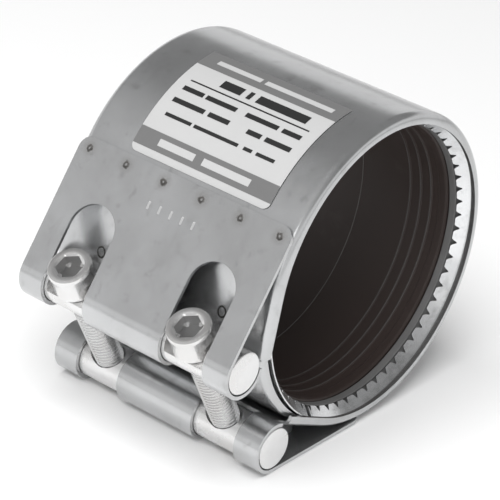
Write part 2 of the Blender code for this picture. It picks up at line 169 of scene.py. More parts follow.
# Rings, sleeve and bridge plate. SLEEVE_LIP and SEAM_RIDGE are each (half width, height).
INNER_STACK_RADIUS = 62.7 * MM
SLEEVE_BORE = 57.8 * MM
SLEEVE_LIPS = (24.0 * MM, 29.3 * MM, 34.5 * MM)
SLEEVE_LIP = (0.75 * MM, 0.45 * MM)
SEAM_AT = 0.6 * MM
SEAM_RIDGE = (0.3 * MM, 0.22 * MM)
SLEEVE_EDGE = 0.8 * MM
SLEEVE_MOUTH = 1.0 * MM
SLEEVE_MOUTH_MIDDLE = 0.3 * MM
SHOULDER_FROM = 38.4 * MM
SHOULDER_TO = 38.0 * MM
SHOULDER_DEPTH = 0.35 * MM
RING_SHEET = 0.7 * MM
TOOTH_COUNT = 60
TOOTH_TIP_RADIUS = 58.65 * MM
TOOTH_TIP_AT = 46.65 * MM
TOOTH_LENGTH = 2.3 * MM
CONE_ANGLE = math.radians(48.0)
CONE_LENGTH = 5.7 * MM
GRIP_ROUNDING = 0.1 * MM
RIM_HEIGHT = 52.1 * MM
RIM_SHEET = 0.6 * MM
BACKING_BORE = 58.7 * MM
BACKING_RECESS = 1.6 * MM
BACKING_EDGE = 0.4 * MM
BACKING_LIP = 0.5 * MM
SPLIT_ANGLE = math.radians(32.0)
SPLIT_WIDTH = 2.5 * MM
SPLIT_REACH = 12.0 * MM
BRIDGE_CROWN = 68.0 * MM
BRIDGE_END_RADIUS = 64.3 * MM
BRIDGE_END_ANGLE = math.radians(29.4)
BRIDGE_SHEET = 1.2 * MM
BRIDGE_HALF_WIDTH = 51.0 * MM
BRIDGE_LIP = 3.8 * MM
BRIDGE_END_LIP = 1.2 * MM
BRIDGE_BEND = 1.6 * MM
BRIDGE_ROUNDING = 0.15 * MM

# Label: angles from the gap, and places along the pipe. Its print stands on it as a second thin film.
LABEL_START = math.radians(-112.0)
LABEL_END = math.radians(-63.9)
LABEL_NEAR = -37.4 * MM
LABEL_FAR = 31.7 * MM
LABEL_LIFT = 0.25 * MM
LABEL_FILM = 0.2 * MM
LABEL_CORNER = 3.0 * MM
HEADER_END = math.radians(-103.2)
BAND_START = math.radians(-72.9)
BAND_END = math.radians(-66.4)
RULE_AT = math.radians(-95.0)
RULE_THICKNESS = math.radians(0.6)
RULE_INSET = 5 * MM
PRINT_FILM = 0.04 * MM

# Plain blocks where the label carries print. Each row has its angle and height in degrees, each block's
# (start, end) as shares of the label's width, and its colour among grey, dark and the film's own.
GREY, DARK, FILM = range(3)
PRINT_ROWS = (
    (-107.4, 2.2, ((0.10, 0.42), (0.45, 0.93)), FILM),
    (-98.9, 3.6, ((0.25, 0.40), (0.44, 0.47), (0.51, 0.87)), DARK),
    (-91.2, 1.9, ((0.07, 0.22), (0.24, 0.46), (0.53, 0.76), (0.79, 0.92)), DARK),
    (-85.6, 1.9, ((0.07, 0.30), (0.33, 0.48), (0.61, 0.71), (0.74, 0.92)), DARK),
    (-79.6, 1.3, ((0.09, 0.28), (0.30, 0.62), (0.66, 0.72), (0.75, 0.88)), DARK),
    (-69.7, 2.6, ((0.16, 0.42), (0.48, 0.82)), FILM),
)

# Studio: how bright the backdrop and the room above it are, the height of the line between them, and
# where along x the room goes from its right-hand brightness to its left-hand one
BACKDROP_BRIGHTNESS = 0.86
BACKDROP_TOP = 0.36
BACKDROP_FADE = 0.03
ROOM_RIGHT = 0.2
ROOM_LEFT = 0.58
ROOM_RIGHT_FROM = 0.2
ROOM_LEFT_FROM = -0.75
FLOOR_HALF = 6.0
FLOOR_DROP = 0.2 * MM

# Camera: where it looks, from which direction and how far
CAMERA_TARGET = Vector((-9.441, 3.359, -9.956)) * MM
CAMERA_DISTANCE = 1049.09 * MM
CAMERA_AZIMUTH = math.radians(-51.815)
CAMERA_ELEVATION = math.radians(28.225)
CAMERA_ROLL = math.radians(4.985)
CAMERA_LENS = 190.04
CAMERA_SENSOR = 36.0
CAMERA_CLIP_START = 0.01

# What follows from the sizes above
CASING_RADIUS = SHEET_RADIUS + SHEET / 2
STRAP_DISTANCE = CASING_RADIUS + STRAP_GAP + SHEET / 2
LEG_ANGLE = BAR_ANGLE + math.acos((SHEET_RADIUS + LOOP_RADIUS) / BAR_DISTANCE)
LEG_LENGTH = math.sqrt(BAR_DISTANCE**2 - (SHEET_RADIUS + LOOP_RADIUS) ** 2)
STRAP_ANGLE = BAR_ANGLE + math.acos((STRAP_DISTANCE - LOOP_RADIUS) / BAR_DISTANCE)
STRAP_LENGTH = BAR_DISTANCE * math.sin(STRAP_ANGLE - BAR_ANGLE)
LOOP_SWEEP = STRAP_ANGLE + math.pi - LEG_ANGLE
SHEET_END = (math.pi - LEG_ANGLE) * SHEET_RADIUS + LEG_LENGTH + LOOP_SWEEP * LOOP_RADIUS + STRAP_LENGTH

# How finely curves are divided
ARC_STEPS = 64
LOOP_STEPS = 40
SLOT_END_STEPS = 12
CORNER_STEPS = 8
BEND_STEPS = 7
BRIDGE_STEPS = 48
BRIDGE_BEND_STEPS = 5
RING_SIDES = 144
BAR_SIDES = 96
HOLE_SIDES = 48
SCREW_SIDES = 96
LABEL_STEP = math.radians(1.5)

# Where the thread's flat crest ends and its root starts and ends, as shares of the pitch
THREAD_CREST = 0.125
THREAD_ROOT_START = 0.4375
THREAD_ROOT_END = 0.6875

# How metallic the steels are, a little under one so that none of them goes black or white
STEEL_METALLIC = 0.88


# ---- Mesh helpers -------------------------------------------------------------------------------


def toward(angle):
    """The unit vector at an angle from the gap, in the plane across the pipe."""
    return Vector((math.cos(angle), 0.0, math.sin(angle)))


def across(y):
    return Vector((0.0, y, 0.0))


def loft(bm, rows, closed=False, keep=None):
    """Faces between neighbouring rows of (point, uv) pairs, where keep(row, column) says so."""
    uv_layer = bm.loops.layers.uv.verify()
    made = [[bm.verts.new(point) for point, _ in row] for row in rows]
    count = len(rows[0])
    spans = count if closed else count - 1
    for row in range(len(rows) - 1):
        for column in range(spans):
            if keep and not keep(row, column):
                continue
            following = (column + 1) % count
            corners = [(row, column), (row, following), (row + 1, following), (row + 1, column)]
            face = bm.faces.new([made[a][b] for a, b in corners])
            for loop, (a, b) in zip(face.loops, corners):
                loop[uv_layer].uv = rows[a][b][1]


def plain(rows):
    """Rows of points as rows of (point, uv) pairs whose uv isn't used."""
    return [[(point, (0.0, 0.0)) for point in row] for row in rows]


def piece(name, bm, materials, matrix=GAP_FRAME, sharp_above=35.0):
    """A visible object from a bmesh, with its place in its vertices."""
    bmesh.ops.remove_doubles(bm, verts=bm.verts, dist=1e-6)
    bmesh.ops.dissolve_degenerate(bm, edges=bm.edges, dist=1e-7)
    bmesh.ops.recalc_face_normals(bm, faces=bm.faces)
    bm.transform(matrix)
    mesh = bpy.data.meshes.new(name)
    bm.to_mesh(mesh)
    bm.free()
    mesh.shade_smooth()
    mesh.set_sharp_from_angle(angle=math.radians(sharp_above))
    for material in materials:
        mesh.materials.append(material)
    made = bpy.data.objects.new(name, mesh)
    bpy.context.scene.collection.objects.link(made)
    return made


def settle(obj, sharp_above=35.0):
    """Replaces an object's mesh by what its modifiers make of it."""
    graph = bpy.context.evaluated_depsgraph_get()
    mesh = bpy.data.meshes.new_from_object(obj.evaluated_get(graph))
    mesh.name = obj.name
    obj.modifiers.clear()
    obj.data = mesh
    mesh.shade_smooth()
    mesh.set_sharp_from_angle(angle=math.radians(sharp_above))


def flatten_normals(obj):
    """Keeps wide flat faces flat beside their rounded edges."""
    normals = obj.modifiers.new("normals", "WEIGHTED_NORMAL")
    normals.keep_sharp = True
    normals.weight = 60


def thicken(obj, thickness, rounding=EDGE_ROUNDING):
    sheet = obj.modifiers.new("sheet", "SOLIDIFY")
    sheet.thickness = thickness
    sheet.offset = 0.0
    sheet.use_even_offset = True
    if rounding:
        soften(obj, rounding)


def soften(obj, width, angle=50.0):
    edges = obj.modifiers.new("edges", "BEVEL")
    edges.width = width
    edges.segments = 2
    edges.limit_method = "ANGLE"
    edges.angle_limit = math.radians(angle)
    edges.use_clamp_overlap = True


def cut(obj, bm, matrix=GAP_FRAME):
    """Takes a bmesh's shape out of an object, and forgets the cutter."""
    bm.transform(matrix)
    mesh = bpy.data.meshes.new("cutter")
    bm.to_mesh(mesh)
    bm.free()
    tool = bpy.data.objects.new("cutter", mesh)
    bpy.context.scene.collection.objects.link(tool)
    modifier = obj.modifiers.new("cut", "BOOLEAN")
    modifier.object = tool
    settle(obj)
    bpy.data.objects.remove(tool, do_unlink=True)


def cylinder(radius, far_radius, depth, sides, matrix):
    bm = bmesh.new()
    bmesh.ops.create_cone(
        bm, cap_ends=True, segments=sides, radius1=radius, radius2=far_radius, depth=depth, matrix=matrix
    )
    return bm


def block(size, matrix):
    bm = bmesh.new()
    bmesh.ops.create_cube(bm, size=1.0)
    bmesh.ops.scale(bm, verts=bm.verts, vec=size)
    bm.transform(matrix)
    return bm


def revolve(outline, sides):
    """Rows for a closed ring from (radius, y) corners, turned about the pipe's axis."""
    rows = []
    for radius, y in [*outline, outline[0]]:
        row = []
        for side in range(sides):
            angle = 2 * math.pi * side / sides
            row.append(toward(angle) * radius + across(y))
        rows.append(row)
    return plain(rows)


# ---- Node helpers -------------------------------------------------------------------------------


class Graph:
    """Short calls for building a material's nodes."""

    def __init__(self, name):
        self.material = bpy.data.materials.new(name)
        self.material.use_nodes = True
        self.tree = self.material.node_tree
        self.shader = self.tree.nodes["Principled BSDF"]

    def node(self, kind, **settings):
        made = self.tree.nodes.new(kind)
        for name, value in settings.items():
            setattr(made, name, value)
        return made

    def feed(self, socket, value):
        if isinstance(value, bpy.types.NodeSocket):
            self.tree.links.new(value, socket)
        else:
            socket.default_value = value

    def math(self, operation, *values):
        made = self.node("ShaderNodeMath", operation=operation)
        for socket, value in zip(made.inputs, values):
            self.feed(socket, value)
        return made.outputs[0]

    def away(self, value, place):
        """How far a value is from a place."""
        return self.math("ABSOLUTE", self.math("SUBTRACT", value, place))

    def length(self, x, y):
        """How far a point is from zero."""
        return self.math("SQRT", self.math("ADD", self.math("POWER", x, 2.0), self.math("POWER", y, 2.0)))

    def ramp(self, value, low, high, out_low=0.0, out_high=1.0):
        made = self.node("ShaderNodeMapRange", interpolation_type="SMOOTHSTEP")
        for socket, given in zip(made.inputs, (value, low, high, out_low, out_high)):
            self.feed(socket, given)
        return made.outputs[0]

    def mix(self, share, low, high):
        made = self.node("ShaderNodeMix", data_type="RGBA")
        self.feed(made.inputs[0], share)
        self.feed(made.inputs[6], low)
        self.feed(made.inputs[7], high)
        return made.outputs[2]

    def coordinates(self, source, scale=(1.0, 1.0, 1.0)):
        made = self.node("ShaderNodeTexCoord")
        mapping = self.node("ShaderNodeMapping")
        self.feed(mapping.inputs["Vector"], made.outputs[source])
        mapping.inputs["Scale"].default_value = scale
        return mapping.outputs[0]

    def noise(self, vector, scale, detail=3.0, roughness=0.5):
        made = self.node("ShaderNodeTexNoise")
        self.feed(made.inputs["Vector"], vector)
        made.inputs["Scale"].default_value = scale
        made.inputs["Detail"].default_value = detail
        made.inputs["Roughness"].default_value = roughness
        return made.outputs["Fac"]

    def bump(self, height, strength, distance, after=None):
        made = self.node("ShaderNodeBump")
        self.feed(made.inputs["Height"], height)
        made.inputs["Strength"].default_value = strength
        made.inputs["Distance"].default_value = distance
        if after:
            self.feed(made.inputs["Normal"], after)
        return made.outputs[0]

    def dent(self, depth, strength, distance, after):
        return self.bump(self.math("MULTIPLY", depth, -1.0), strength, distance, after)

    def set(self, **sockets):
        for name, value in sockets.items():
            self.feed(self.shader.inputs[name.replace("_", " ")], value)


def grey(value, warmth=0.0):
    return (value * (1 + warmth), value, value * (1 - warmth), 1.0)


def stainless(name, tone, roughness, grain_scale, marks=False, mottle=0.0):
    """Satin stainless: grain drawn out along the sheet, soft stains, fine scratches, and welding marks."""
    g = Graph(name)
    source = "UV" if marks else "Object"
    vector = g.coordinates(source)
    grain = g.noise(g.coordinates(source, grain_scale), 900.0, 2.0, 0.6)
    cloud = g.noise(vector, 28.0, 4.0, 0.55)
    fine = g.noise(vector, 160.0, 3.0, 0.6)
    scratch = g.ramp(g.noise(g.coordinates(source, (30.0, 900.0, 300.0)), 1.0, 1.0), 0.70, 0.74)
    colour = g.mix(g.ramp(cloud, 0.3, 0.75), grey(tone * 0.86, -0.008), grey(tone, -0.012))
    colour = g.mix(g.ramp(fine, 0.56, 0.74, 0.0, 0.5), colour, grey(tone * 0.65))
    smudge = g.noise(g.coordinates(source, (0.6, 1.0, 1.0)), 75.0, 5.0, 0.7)
    colour = g.mix(g.ramp(smudge, 0.5, 0.72, 0.0, 0.18 + mottle), colour, grey(tone * 0.55))
    rough = g.ramp(cloud, 0.2, 0.8, roughness - 0.03, roughness + 0.05)
    rough = g.math("ADD", rough, g.math("MULTIPLY", grain, 0.05))
    waves = g.noise(g.coordinates("Object"), 38.0, 2.0, 0.45)
    normal = g.bump(waves, 0.5, 0.0004)
    normal = g.bump(grain, 0.08, 0.00004, normal)
    normal = g.bump(scratch, 0.12, 0.00002, normal)
    if marks:
        colour, normal = sheet_marks(g, vector, colour, normal)
    g.set(Base_Color=colour, Roughness=rough, Normal=normal)
    g.shader.inputs["Metallic"].default_value = STEEL_METALLIC
    return g.material


def sheet_marks(g, vector, colour, normal):
    """Spot welds beside the straps' edges, ring marks on the legs, and plain stamped dashes."""
    split = g.node("ShaderNodeSeparateXYZ")
    g.feed(split.inputs[0], vector)
    along, y = split.outputs[0], split.outputs[1]
    from_edge = g.math("SUBTRACT", SHEET_END, g.math("ABSOLUTE", along))
    weld_x = g.math("SUBTRACT", from_edge, WELD_FROM_EDGE)
    weld_y = g.math("WRAP", g.math("ADD", y, WELD_PITCH / 2), WELD_PITCH / 2, -WELD_PITCH / 2)
    uneven = g.math("SUBTRACT", g.noise(vector, 700.0, 2.0), 0.5)
    weld = g.math("ADD", g.length(weld_x, weld_y), g.math("MULTIPLY", uneven, WELD_RAGGEDNESS))
    rim = g.math("MULTIPLY", g.ramp(weld, 0.2 * MM, 0.7 * MM), g.ramp(weld, WELD_RIM_RADIUS, 1.1 * MM))
    heat = g.ramp(weld, WELD_HEAT_RADIUS, 1.2 * MM)
    pit = g.ramp(weld, WELD_PIT_RADIUS, 0.3 * MM)
    colour = g.mix(g.math("MULTIPLY", heat, 0.35), colour, grey(0.30, 0.05))
    colour = g.mix(g.math("MULTIPLY", rim, 0.85), colour, grey(0.07, 0.1))
    normal = g.dent(pit, 0.9, 0.0003, normal)
    leg_start = (math.pi - LEG_ANGLE) * SHEET_RADIUS
    ring_x = g.math("SUBTRACT", g.math("ABSOLUTE", along), leg_start + RING_MARK_ALONG_LEG)
    ring_y = g.math("SUBTRACT", g.math("ABSOLUTE", y), RING_MARK_OFFSET)
    ring = g.length(ring_x, g.math("MULTIPLY", ring_y, RING_MARK_NARROWING))
    drawn = g.ramp(g.away(ring, RING_MARK_RADIUS), RING_MARK_HALF_LINE, 0.2 * MM)
    colour = g.mix(g.math("MULTIPLY", drawn, 0.9), colour, grey(0.05, 0.12))
    normal = g.dent(drawn, 0.5, 0.0001, normal)
    dash_y = g.math("ABSOLUTE", g.math("WRAP", y, STAMP_PITCH / 2, -STAMP_PITCH / 2))
    dash_x = g.away(g.math("ADD", SHEET_END, along), STAMP_FROM_EDGE)
    long_enough = g.ramp(dash_x, STAMP_HALF_LENGTH, STAMP_HALF_LENGTH - 0.25 * MM)
    dash = g.math("MULTIPLY", g.ramp(dash_y, STAMP_HALF_WIDTH, 0.4 * MM), long_enough)
    stamped = g.math("LESS_THAN", g.math("ABSOLUTE", y), STAMP_COUNT / 2 * STAMP_PITCH)
    dash = g.math("MULTIPLY", dash, stamped)
    colour = g.mix(g.math("MULTIPLY", dash, 0.7), colour, grey(0.9))
    normal = g.dent(dash, 0.8, 0.0002, normal)
    return colour, normal


def turned_steel(name, tone, roughness):
    """Bright turned bar or screw steel: fine rings, faint handling marks."""
    g = Graph(name)
    vector = g.coordinates("Object")
    lines = g.noise(g.coordinates("Object", (0.2, 1.0, 0.2)), 2200.0, 2.0)
    cloud = g.noise(vector, 60.0, 4.0)
    colour = g.mix(g.ramp(cloud, 0.35, 0.7), grey(tone * 0.9, 0.01), grey(tone))
    rough = g.ramp(cloud, 0.2, 0.8, roughness - 0.04, roughness + 0.06)
    rough = g.math("ADD", rough, g.math("MULTIPLY", lines, 0.04))
    normal = g.bump(lines, 0.12, 0.00003)
    g.set(Base_Color=colour, Roughness=rough, Normal=normal)
    g.shader.inputs["Metallic"].default_value = STEEL_METALLIC
    return g.material


def rubber_material():
    """Moulded rubber with a dusty bloom, and painted highlights along its lips and its seam."""
    g = Graph("moulded_rubber")
    vector = g.coordinates("Object")
    split = g.node("ShaderNodeSeparateXYZ")
    g.feed(split.inputs[0], vector)
    y = split.outputs[1]
    bloom = g.ramp(g.noise(vector, 34.0, 5.0, 0.62), 0.55, 0.8)
    skin = g.noise(vector, 1500.0, 2.0)
    colour = g.mix(g.math("MULTIPLY", bloom, 0.5), (0.042, 0.031, 0.028, 1.0), (0.100, 0.088, 0.083, 1.0))
    # Painted highlight: a thin lighter line along each sealing lip's crest, where it catches the light
    for lip in SLEEVE_LIPS:
        away = g.away(g.math("ABSOLUTE", y), lip)
        colour = g.mix(g.ramp(away, 0.32 * MM, 0.12 * MM, 0.0, 0.7), colour, grey(0.11, 0.02))
    # Painted highlight: a thin lighter line along the seam's ridge, where it catches the light
    seam = g.away(y, SEAM_AT)
    colour = g.mix(g.ramp(seam, 0.3 * MM, 0.1 * MM, 0.0, 0.8), colour, grey(0.16, 0.04))
    g.set(
        Base_Color=colour,
        Roughness=g.ramp(bloom, 0.0, 1.0, 0.5, 0.72),
        Normal=g.bump(skin, 0.25, 0.00006),
    )
    g.shader.inputs["Specular IOR Level"].default_value = 0.3
    return g.material


def backing_material():
    """The grey ring behind the teeth: dull, a little mottled."""
    g = Graph("backing_grey")
    vector = g.coordinates("Object")
    cloud = g.noise(vector, 70.0, 4.0)
    colour = g.mix(cloud, grey(0.12, 0.01), grey(0.18, 0.0))
    normal = g.bump(g.noise(vector, 900.0, 2.0), 0.2, 0.00005)
    g.set(Base_Color=colour, Roughness=g.ramp(cloud, 0.2, 0.8, 0.42, 0.58), Normal=normal)
    return g.material


def film_material(name, value):
    """Printed label film with a slight paper mottle."""
    g = Graph(name)
    vector = g.coordinates("Object")
    cloud = g.noise(vector, 90.0, 4.0)
    colour = g.mix(cloud, grey(value * 0.95), grey(value))
    normal = g.bump(g.noise(vector, 700.0, 2.0), 0.08, 0.00004)
    g.set(Base_Color=colour, Roughness=g.ramp(cloud, 0.2, 0.8, 0.38, 0.46), Normal=normal)
    return g.material


# ---- Casing -------------------------------------------------------------------------------------


def arc_and_leg(side):
    """(point, inward direction, distance along the sheet) from opposite the gap to the lip's end."""
    stations = []
    for step in range(ARC_STEPS + 1):
        turned = (math.pi - LEG_ANGLE) * step / ARC_STEPS
        out = toward(side * (math.pi - turned))
        stations.append((out * SHEET_RADIUS, -out, turned * SHEET_RADIUS))
    stations.append(leg_station(side, LEG_WITH_LIP))
    return stations


def leg_station(side, length):
    out = toward(side * LEG_ANGLE)
    point = out * SHEET_RADIUS + toward(side * (LEG_ANGLE - math.pi / 2)) * length
    return point, -out, (math.pi - LEG_ANGLE) * SHEET_RADIUS + length


def loop_stations(side):
    """(point, distance along the sheet) round one bar, from the leg to the strap."""
    bar = Vector((BAR_X, 0.0, side * BAR_Z))
    start = LEG_ANGLE + math.pi
    stations = []
    for step in range(LOOP_STEPS + 1):
        turned = LOOP_SWEEP * step / LOOP_STEPS
        point = bar + toward(side * (start + turned)) * LOOP_RADIUS
        stations.append((point, leg_station(side, LEG_LENGTH)[2] + turned * LOOP_RADIUS))
    return stations


def strap_station(side, from_edge):
    point = toward(side * STRAP_ANGLE) * STRAP_DISTANCE
    point += toward(side * (STRAP_ANGLE - math.pi / 2)) * from_edge
    return point, SHEET_END - from_edge


def slot_half_width(from_edge):
    """Half the slot's width at a distance from the strap's free edge."""
    into_end = SLOT_FROM_EDGE + SLOT_RADIUS - from_edge
    if into_end <= 0:
        return SLOT_RADIUS
    return math.sqrt(max(0.0, SLOT_RADIUS**2 - into_end**2))


def strap_half_width(from_edge):
    """Half the strap's width, drawn in round its corners."""
    into_corner = STRAP_CORNER - from_edge
    if into_corner <= 0:
        return STRAP_HALF_WIDTH
    return STRAP_HALF_WIDTH - STRAP_CORNER + math.sqrt(max(0.0, STRAP_CORNER**2 - into_corner**2))


def strap_distances():
    """Distances from the free edge where the strap has a row of points."""
    slot_end = [
        SLOT_FROM_EDGE + SLOT_RADIUS * (1 - math.sin(math.pi / 2 * step / SLOT_END_STEPS))
        for step in range(SLOT_END_STEPS + 1)
    ]
    corner = [
        STRAP_CORNER * (1 - math.sin(math.pi / 2 * step / CORNER_STEPS)) for step in range(CORNER_STEPS + 1)
    ]
    return slot_end + corner


def lip_rows():
    """(y, depth inward, distance along the developed lip) across one edge of the circle."""
    bend = LIP_BEND - SHEET / 2
    flat_end = CASING_HALF_WIDTH - LIP_BEND
    rows = [(HEM_START, 0.0, HEM_START), (flat_end, 0.0, flat_end)]
    for step in range(1, BEND_STEPS + 1):
        angle = math.pi / 2 * step / BEND_STEPS
        y = flat_end + bend * math.sin(angle)
        rows.append((y, bend * (1 - math.cos(angle)), flat_end + bend * angle))
    depth = LIP_DEPTH - SHEET / 2
    rows.append((flat_end + bend, depth, flat_end + bend * (math.pi / 2 - 1) + depth))
    return rows


def casing_side(bm, side):
    """One half of the casing's middle surface, from opposite the gap to the strap's free edge."""
    circle = arc_and_leg(side)
    leg = (circle[-1], leg_station(side, LEG_LENGTH))
    loop = loop_stations(side)
    free = [(distance, *strap_station(side, distance)) for distance in strap_distances()]
    flat_end = CASING_HALF_WIDTH - LIP_BEND
    path = [(point, along, SLOT_RADIUS) for point, _, along in circle]
    path += [(point, along, SLOT_RADIUS) for point, along in loop]
    path += [(point, along, slot_half_width(distance)) for distance, point, along in free]
    slot_from = len(circle)
    slot_to = len(path) - (CORNER_STEPS + 1) - 1

    def points_at(y_of):
        return [(point + across(y_of(half)), (side * along, y_of(half))) for point, along, half in path]

    rows = [
        points_at(lambda half: -HEM_START),
        points_at(lambda half: -SCREW_OFFSET - half),
        points_at(lambda half: -SCREW_OFFSET + half),
        points_at(lambda half: 0.0),
        points_at(lambda half: SCREW_OFFSET - half),
        points_at(lambda half: SCREW_OFFSET + half),
        points_at(lambda half: HEM_START),
    ]
    loft(bm, rows, keep=lambda row, column: row not in (1, 4) or not slot_from <= column < slot_to)
    strap = [(point, along, STRAP_HALF_WIDTH) for point, along in loop]
    strap += [(point, along, strap_half_width(distance)) for distance, point, along in free]
    flat_share = (flat_end - HEM_START) / (STRAP_HALF_WIDTH - HEM_START)
    for end in (-1, 1):
        loft(
            bm,
            [
                [
                    (point + inward * depth + across(end * y), (side * along, end * developed))
                    for point, inward, along in circle
                ]
                for y, depth, developed in lip_rows()
            ],
        )
        loft(
            bm,
            [
                [(point + across(end * y), (side * along, end * y)) for point, _, along in leg]
                for y in (HEM_START, flat_end)
            ],
        )
        hem = []
        for share in (0.0, flat_share, 1.0):
            row = []
            for point, along, half in strap:
                y = end * (HEM_START + share * (half - HEM_START))
                row.append((point + across(y), (side * along, y)))
            hem.append(row)
        loft(bm, hem)


def make_casing(material):
    bm = bmesh.new()
    for side in (-1, 1):
        casing_side(bm, side)
    casing = piece("casing_shell", bm, [material])
    thicken(casing, SHEET)
    settle(casing)
    flatten_normals(casing)
    close_with_gap(casing)
    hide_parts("casing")


def close_with_gap(obj):
    """Bakes a piece's placement into its mesh; the piece is not bent."""
    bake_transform(obj)


# ---- Bridge plate, sleeve and rings -------------------------------------------------------------


def make_bridge(material):
    """A strip more tightly curved than the casing, with lips at both edges that fade toward its ends."""
    end = toward(BRIDGE_END_ANGLE) * BRIDGE_END_RADIUS
    rise = BRIDGE_CROWN - end.x
    radius = (end.z**2 + rise**2) / (2 * rise)
    centre = Vector((BRIDGE_CROWN - radius, 0.0, 0.0))
    half_angle = math.atan2(end.z, end.x - centre.x)
    middle = radius - BRIDGE_SHEET / 2
    bend = BRIDGE_BEND - BRIDGE_SHEET / 2
    flat_end = BRIDGE_HALF_WIDTH - BRIDGE_SHEET / 2 - bend
    section = []
    for side in (-1, 1):
        half = [(side * (flat_end + bend), 1.0)]
        for step in range(BRIDGE_BEND_STEPS, -1, -1):
            angle = math.pi / 2 * step / BRIDGE_BEND_STEPS
            half.append((side * (flat_end + bend * math.sin(angle)), -bend * (1 - math.cos(angle))))
        section += half if side < 0 else half[::-1]
    rows = []
    for y, depth in section:
        row = []
        for step in range(-BRIDGE_STEPS // 2, BRIDGE_STEPS // 2 + 1):
            share = step / (BRIDGE_STEPS / 2)
            lip = BRIDGE_LIP + (BRIDGE_END_LIP - BRIDGE_LIP) * share**2 - BRIDGE_SHEET / 2
            inward = max(lip, bend) if depth == 1.0 else -depth
            row.append(centre + toward(share * half_angle) * (middle - inward) + across(y))
        rows.append(row)
    bm = bmesh.new()
    loft(bm, plain(rows))
    bridge = piece("bridge_strip", bm, [material])
    thicken(bridge, BRIDGE_SHEET, BRIDGE_ROUNDING)
    settle(bridge)
    flatten_normals(bridge)
    close_with_gap(bridge)
    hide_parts("bridge_plate")


def rib(at, half_width, height):
    """Corners of one raised rib round the bore."""
    return [
        (SLEEVE_BORE, at - half_width),
        (SLEEVE_BORE - height * 0.8, at - half_width * 0.35),
        (SLEEVE_BORE - height, at),
        (SLEEVE_BORE - height * 0.8, at + half_width * 0.35),
        (SLEEVE_BORE, at + half_width),
    ]


def make_sleeve(material):
    """The rubber sleeve: rounded ends, sealing lips along the bore and a moulding seam near its middle."""
    half = SLEEVE_HALF_LENGTH
    near_end = [
        (INNER_STACK_RADIUS, SLEEVE_EDGE - half),
        (INNER_STACK_RADIUS - SLEEVE_EDGE, -half),
        (SLEEVE_BORE + SLEEVE_MOUTH, -half),
        (SLEEVE_BORE + SLEEVE_MOUTH_MIDDLE, SLEEVE_MOUTH_MIDDLE - half),
        (SLEEVE_BORE, SLEEVE_MOUTH - half),
        (SLEEVE_BORE, -SHOULDER_FROM),
        (SLEEVE_BORE + SHOULDER_DEPTH, -SHOULDER_TO),
    ]
    ribs = [(SEAM_AT, SEAM_RIDGE)]
    for lip in SLEEVE_LIPS:
        ribs += [(-lip, SLEEVE_LIP), (lip, SLEEVE_LIP)]
    outline = near_end[:]
    for at, size in sorted(ribs):
        outline += rib(at, *size)
    outline += [(radius, -y) for radius, y in near_end[::-1]]
    bm = bmesh.new()
    loft(bm, revolve(outline, RING_SIDES), closed=True)
    sleeve = piece("rubber_sleeve", bm, [material], sharp_above=20.0)
    close_with_gap(sleeve)
    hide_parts("sealing_sleeve")


def cone_point(along, behind):
    """(radius, height) on a grip ring: along its cone from the tooth tips, and behind its front face."""
    radius = TOOTH_TIP_RADIUS + along * math.cos(CONE_ANGLE) + behind * math.sin(CONE_ANGLE)
    height = TOOTH_TIP_AT + along * math.sin(CONE_ANGLE) - behind * math.cos(CONE_ANGLE)
    return radius, height


def split_gap(height):
    """The saw cut through a ring."""
    place = Matrix.Translation(toward(SPLIT_ANGLE) * INNER_STACK_RADIUS + across(height))
    return block((SPLIT_REACH, SPLIT_REACH, SPLIT_WIDTH), place @ Matrix.Rotation(-SPLIT_ANGLE, 4, "Y"))


def make_grip_ring(name, end, material):
    """A split cone of strip with blunt teeth, whose notches are narrow at the bottom."""
    tip = ((0.0, 0.0), (0.24, 0.0), (0.48, 0.0))
    notch_sides = ((0.58, 0.3), (0.68, 0.85), (0.74, 1.0), (0.80, 0.85), (0.90, 0.3))
    rows = [[] for _ in range(7)]
    rim_radius = cone_point(CONE_LENGTH, 0.0)[0]
    rim = [(rim_radius, RIM_HEIGHT), (rim_radius + RIM_SHEET, RIM_HEIGHT)]
    for index in range(TOOTH_COUNT):
        for share, notch in tip + notch_sides:
            out = toward(2 * math.pi * (index + share) / TOOTH_COUNT)
            inner = TOOTH_LENGTH * notch
            face = [cone_point(inner, 0.0), cone_point(CONE_LENGTH, 0.0)]
            back = [cone_point(CONE_LENGTH, RING_SHEET), cone_point(inner, RING_SHEET)]
            for row, (radius, height) in zip(rows, [*face, *rim, *back, face[0]]):
                row.append(out * radius + across(end * height))
    bm = bmesh.new()
    loft(bm, plain(rows), closed=True)
    ring = piece(f"{name}_teeth", bm, [material], sharp_above=30.0)
    cut(ring, split_gap(end * TOOTH_TIP_AT))
    soften(ring, GRIP_ROUNDING, 40.0)
    settle(ring)
    flatten_normals(ring)
    close_with_gap(ring)
    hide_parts(name)


def make_backing_ring(name, end, material):
    """A split ring between grip ring and sleeve, set back behind the teeth so that they stand clear."""
    start = SLEEVE_HALF_LENGTH + FIT_GAP
    tip_radius, tip_height = cone_point(0, RING_SHEET + FIT_GAP)
    rise = (INNER_STACK_RADIUS - tip_radius) * math.tan(CONE_ANGLE)
    outline = [
        (INNER_STACK_RADIUS, tip_height + rise - BACKING_RECESS),
        (INNER_STACK_RADIUS, start),
        (BACKING_BORE + BACKING_EDGE, start),
        (BACKING_BORE, start + BACKING_EDGE),
        (BACKING_BORE, tip_height - BACKING_EDGE / 2),
        (BACKING_BORE + BACKING_EDGE / 2, tip_height),
        (BACKING_BORE + BACKING_EDGE, tip_height),
        (BACKING_BORE + BACKING_LIP, tip_height - BACKING_RECESS),
    ]
    bm = bmesh.new()
    loft(bm, revolve([(radius, end * y) for radius, y in outline], RING_SIDES), closed=True)
    ring = piece(f"{name}_band", bm, [material], sharp_above=40.0)
    cut(ring, split_gap(end * TOOTH_TIP_AT))
    close_with_gap(ring)
    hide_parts(name)


# ---- Bars and screws ----------------------------------------------------------------------------


